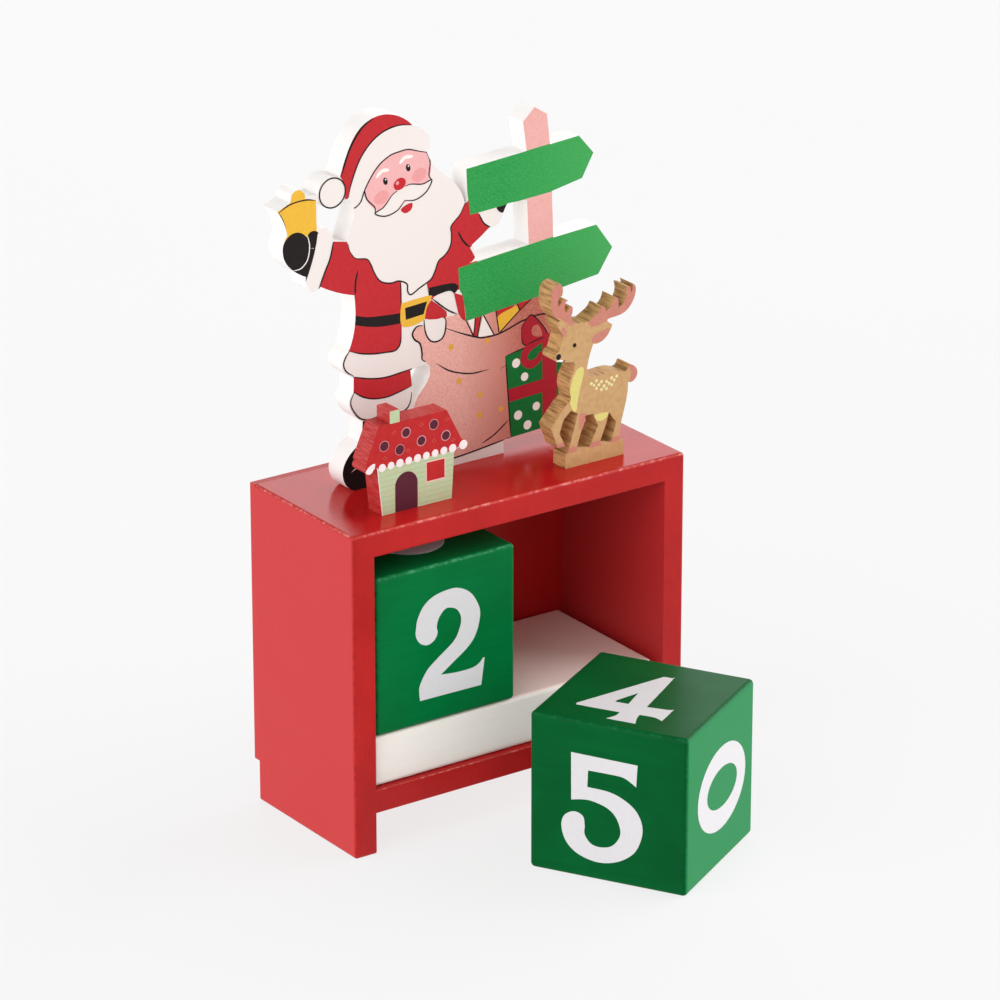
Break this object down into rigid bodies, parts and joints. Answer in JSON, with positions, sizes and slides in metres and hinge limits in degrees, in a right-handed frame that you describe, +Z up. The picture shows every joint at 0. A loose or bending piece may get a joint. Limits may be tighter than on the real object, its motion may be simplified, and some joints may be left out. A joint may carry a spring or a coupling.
{
  "type": "block desk calendar",
  "caption": "Wooden perpetual desk calendar: an open stand holding number cubes and a loose plinth block, with painted cut-out winter figures on its top board.",
  "frame": {"origin": "on the table, under the middle of the box round the whole arrangement", "axes": "+Z up, the stand's open front faces -Y, +X to the right seen from the front"},
  "size_m": [0.0997, 0.1058, 0.1742],
  "materials": {
    "red_paint": "satin red paint over wood, grain showing faintly",
    "white_paint": "satin off-white paint over wood",
    "green_paint": "satin green paint over wood",
    "house_paint": "painted sawn sheet",
    "deer_wood": "painted sawn sheet with a dark, laser-cut edge",
    "dowel_wood": "bare wood",
    "steel": "bright wire"
  },
  "bodies": {
    "stand": {"left_side": "red_paint", "right_side": "red_paint", "top_board": "red_paint", "bottom_board": "red_paint", "back_panel": "red_paint", "side_brads": "steel", "back_brads": "steel", "santa_panel": "white_paint", "panel_dowels": "dowel_wood", "house": "house_paint", "house_dowels": "dowel_wood", "deer": "deer_wood", "deer_dowels": "dowel_wood"},
    "plinth": {"plinth_block": "white_paint"},
    "tens": {"tens_cube": "green_paint"},
    "units": {"units_cube": "green_paint"}
  },
  "joints": [
    {"name": "plinth_slide", "type": "slide", "parent": "stand", "child": "plinth", "axis": [0, -1, 0], "range_m": [0, 0.0065]},
    {"name": "tens_slide", "type": "slide", "parent": "plinth", "child": "tens", "axis": [1, 0, 0], "range_m": [0, 0.0427]},
    {"name": "units_turn", "type": "hinge", "parent": "stand", "child": "units", "pos_m": [0.0125, -0.0259, 0.02], "axis": [0, 0, 1], "continuous": true}
  ]
}
